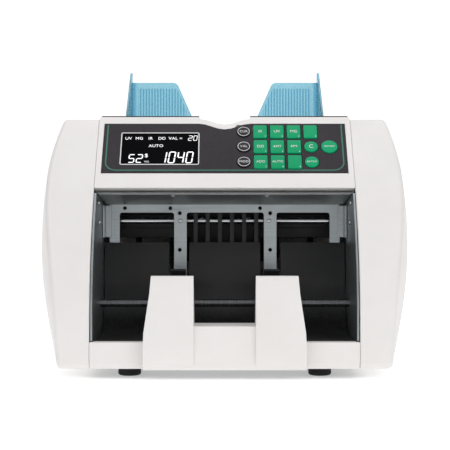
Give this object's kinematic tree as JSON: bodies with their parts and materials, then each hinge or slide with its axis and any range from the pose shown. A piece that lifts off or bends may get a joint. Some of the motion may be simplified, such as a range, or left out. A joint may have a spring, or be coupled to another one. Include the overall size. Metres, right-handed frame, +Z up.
{
  "type": "banknote counting machine",
  "caption": "Desktop banknote counter with a rear top hopper, sloping keypad and display, open front pocket with forked stacker plate, and bulged side covers.",
  "frame": {"origin": "centre of the bounding box at the level of the feet", "axes": "+X to the operator's right, +Y from the front pocket to the rear wall, +Z up"},
  "size_m": [0.2858, 0.2456, 0.241],
  "materials": {
    "warm_white": "satin moulded ABS, warm white",
    "rear_grey": "fine grained ABS",
    "panel_black": "printed overlay film",
    "display_glass": "dark glossy window",
    "key_green": "satin key cap",
    "key_dark": "satin key cap",
    "frame_steel": "zinc plated sheet",
    "dark_steel": "satin dark paint",
    "shaft_steel": "ground steel",
    "black_plastic": "satin moulded plastic",
    "rubber": "ground rubber",
    "blue_clear": "clear blue moulding",
    "board_green": "solder mask",
    "motor_metal": "plated can"
  },
  "bodies": {
    "machine": {"panel_lid": "warm_white", "panel_overlay": "panel_black", "display_window": "display_glass", "panel_board": "board_green", "right_side_cover": "warm_white", "left_side_cover": "warm_white", "front_lip": "warm_white", "stacker_front_plate": "warm_white", "base_tray": "dark_steel", "foot_front_left": "rubber", "foot_front_right": "rubber", "foot_rear_left": "rubber", "foot_rear_right": "rubber", "right_side_plate": "frame_steel", "left_side_plate": "frame_steel", "window_frame": "frame_steel", "throat_ceiling": "dark_steel", "chute": "black_plastic", "note_guide": "black_plastic", "hopper_bed": "rear_grey", "gap_bracket": "black_plastic", "rear_housing": "rear_grey", "mains_inlet": "black_plastic", "main_board": "board_green", "power_supply": "motor_metal", "sensor_bar": "black_plastic", "main_motor": "motor_metal", "main_belt": "rubber", "stacker_belt": "rubber"},
    "feed_spindle": {"feed_shaft": "shaft_steel", "feed_roller": "rubber"},
    "pickup_spindle": {"pickup_shaft": "shaft_steel", "left_pickup_roller": "rubber", "right_pickup_roller": "rubber"},
    "transport_spindle": {"transport_shaft": "shaft_steel"},
    "motor_rotor": {"motor_pulley": "shaft_steel"},
    "stacker_spindle": {"stacker_shaft": "shaft_steel", "left_stacker_wheel": "rubber", "right_stacker_wheel": "rubber"},
    "right_guide": {"right_hopper_guide": "blue_clear"},
    "left_guide": {"left_hopper_guide": "blue_clear"},
    "service_door": {"rear_door": "rear_grey"},
    "mains_rocker": {"power_rocker": "black_plastic"},
    "adjusting_screw": {"gap_screw": "black_plastic"},
    "key_top_1_cap": {"key_top_1": "key_green"},
    "key_top_2_cap": {"key_top_2": "key_green"},
    "key_top_3_cap": {"key_top_3": "key_green"},
    "key_top_4_cap": {"key_top_4": "key_green"},
    "key_middle_1_cap": {"key_middle_1": "key_green"},
    "key_middle_2_cap": {"key_middle_2": "key_green"},
    "key_middle_3_cap": {"key_middle_3": "key_green"},
    "key_lower_1_cap": {"key_lower_1": "key_green"},
    "key_lower_2_cap": {"key_lower_2": "key_green"},
    "key_lower_3_cap": {"key_lower_3": "key_green"},
    "key_currency_cap": {"key_currency": "key_dark"},
    "key_value_cap": {"key_value": "key_dark"},
    "key_mode_cap": {"key_mode": "key_dark"},
    "key_clear_cap": {"key_clear": "key_green"},
    "key_batch_cap": {"key_batch": "key_green"},
    "key_restart_cap": {"key_restart": "key_green"}
  },
  "joints": [
    {"name": "feed_spin", "type": "hinge", "parent": "machine", "child": "feed_spindle", "pos_m": [0, -0.0052, 0.143], "axis": [1, 0, 0], "continuous": true},
    {"name": "pickup_spin", "type": "hinge", "parent": "machine", "child": "pickup_spindle", "pos_m": [0, 0.0108, 0.1564], "axis": [1, 0, 0], "continuous": true},
    {"name": "transport_spin", "type": "hinge", "parent": "machine", "child": "transport_spindle", "pos_m": [0, -0.0032, 0.113], "axis": [1, 0, 0], "continuous": true},
    {"name": "motor_spin", "type": "hinge", "parent": "machine", "child": "motor_rotor", "pos_m": [0, 0.0588, 0.062], "axis": [1, 0, 0], "continuous": true},
    {"name": "stacker_spin", "type": "hinge", "parent": "machine", "child": "stacker_spindle", "pos_m": [0, -0.0442, 0.05], "axis": [1, 0, 0], "continuous": true},
    {"name": "right_guide_slide", "type": "slide", "parent": "machine", "child": "right_guide", "axis": [1, 0, 0], "range_m": [-0.025, 0.008]},
    {"name": "left_guide_slide", "type": "slide", "parent": "machine", "child": "left_guide", "axis": [1, 0, 0], "range_m": [-0.008, 0.025]},
    {"name": "service_door_hinge", "type": "hinge", "parent": "machine", "child": "service_door", "pos_m": [0, 0.12, 0.06], "axis": [-1, 0, 0], "range_deg": [0, 78]},
    {"name": "mains_rocker_tilt", "type": "hinge", "parent": "machine", "child": "mains_rocker", "pos_m": [0.036, 0.1118, 0.036], "axis": [-1, 0, 0], "range_deg": [0, 11]},
    {"name": "adjusting_screw_turn", "type": "hinge", "parent": "machine", "child": "adjusting_screw", "pos_m": [0, -0.0112, 0.176], "axis": [0, 0, 1], "range_deg": [-180, 180]},
    {"name": "key_top_1_press", "type": "slide", "parent": "machine", "child": "key_top_1_cap", "axis": [0, 0.7689, -0.6393], "range_m": [0, 0.0006], "stiffness_N_per_m": 800, "springref_m": -0.0006},
    {"name": "key_top_2_press", "type": "slide", "parent": "machine", "child": "key_top_2_cap", "axis": [0, 0.7689, -0.6393], "range_m": [0, 0.0006], "stiffness_N_per_m": 800, "springref_m": -0.0006},
    {"name": "key_top_3_press", "type": "slide", "parent": "machine", "child": "key_top_3_cap", "axis": [0, 0.7689, -0.6393], "range_m": [0, 0.0006], "stiffness_N_per_m": 800, "springref_m": -0.0006},
    {"name": "key_top_4_press", "type": "slide", "parent": "machine", "child": "key_top_4_cap", "axis": [0, 0.7689, -0.6393], "range_m": [0, 0.0006], "stiffness_N_per_m": 800, "springref_m": -0.0006},
    {"name": "key_middle_1_press", "type": "slide", "parent": "machine", "child": "key_middle_1_cap", "axis": [0, 0.7689, -0.6393], "range_m": [0, 0.0006], "stiffness_N_per_m": 800, "springref_m": -0.0006},
    {"name": "key_middle_2_press", "type": "slide", "parent": "machine", "child": "key_middle_2_cap", "axis": [0, 0.7689, -0.6393], "range_m": [0, 0.0006], "stiffness_N_per_m": 800, "springref_m": -0.0006},
    {"name": "key_middle_3_press", "type": "slide", "parent": "machine", "child": "key_middle_3_cap", "axis": [0, 0.7689, -0.6393], "range_m": [0, 0.0006], "stiffness_N_per_m": 800, "springref_m": -0.0006},
    {"name": "key_lower_1_press", "type": "slide", "parent": "machine", "child": "key_lower_1_cap", "axis": [0, 0.7689, -0.6393], "range_m": [0, 0.0006], "stiffness_N_per_m": 800, "springref_m": -0.0006},
    {"name": "key_lower_2_press", "type": "slide", "parent": "machine", "child": "key_lower_2_cap", "axis": [0, 0.7689, -0.6393], "range_m": [0, 0.0006], "stiffness_N_per_m": 800, "springref_m": -0.0006},
    {"name": "key_lower_3_press", "type": "slide", "parent": "machine", "child": "key_lower_3_cap", "axis": [0, 0.7689, -0.6393], "range_m": [0, 0.0006], "stiffness_N_per_m": 800, "springref_m": -0.0006},
    {"name": "key_currency_press", "type": "slide", "parent": "machine", "child": "key_currency_cap", "axis": [0, 0.7689, -0.6393], "range_m": [0, 0.0006], "stiffness_N_per_m": 800, "springref_m": -0.0006},
    {"name": "key_value_press", "type": "slide", "parent": "machine", "child": "key_value_cap", "axis": [0, 0.7689, -0.6393], "range_m": [0, 0.0006], "stiffness_N_per_m": 800, "springref_m": -0.0006},
    {"name": "key_mode_press", "type": "slide", "parent": "machine", "child": "key_mode_cap", "axis": [0, 0.7689, -0.6393], "range_m": [0, 0.0006], "stiffness_N_per_m": 800, "springref_m": -0.0006},
    {"name": "key_clear_press", "type": "slide", "parent": "machine", "child": "key_clear_cap", "axis": [0, 0.7689, -0.6393], "range_m": [0, 0.0006], "stiffness_N_per_m": 800, "springref_m": -0.0006},
    {"name": "key_batch_press", "type": "slide", "parent": "machine", "child": "key_batch_cap", "axis": [0, 0.7689, -0.6393], "range_m": [0, 0.0006], "stiffness_N_per_m": 800, "springref_m": -0.0006},
    {"name": "key_restart_press", "type": "slide", "parent": "machine", "child": "key_restart_cap", "axis": [0, 0.7689, -0.6393], "range_m": [0, 0.0006], "stiffness_N_per_m": 800, "springref_m": -0.0006}
  ],
  "couplings": [
    {"joint": "pickup_spin", "follows": "feed_spin", "ratio": 1},
    {"joint": "transport_spin", "follows": "feed_spin", "ratio": 1},
    {"joint": "motor_spin", "follows": "feed_spin", "ratio": 1.125},
    {"joint": "stacker_spin", "follows": "feed_spin", "ratio": 0.57143},
    {"joint": "left_guide_slide", "follows": "right_guide_slide", "ratio": -1}
  ]
}
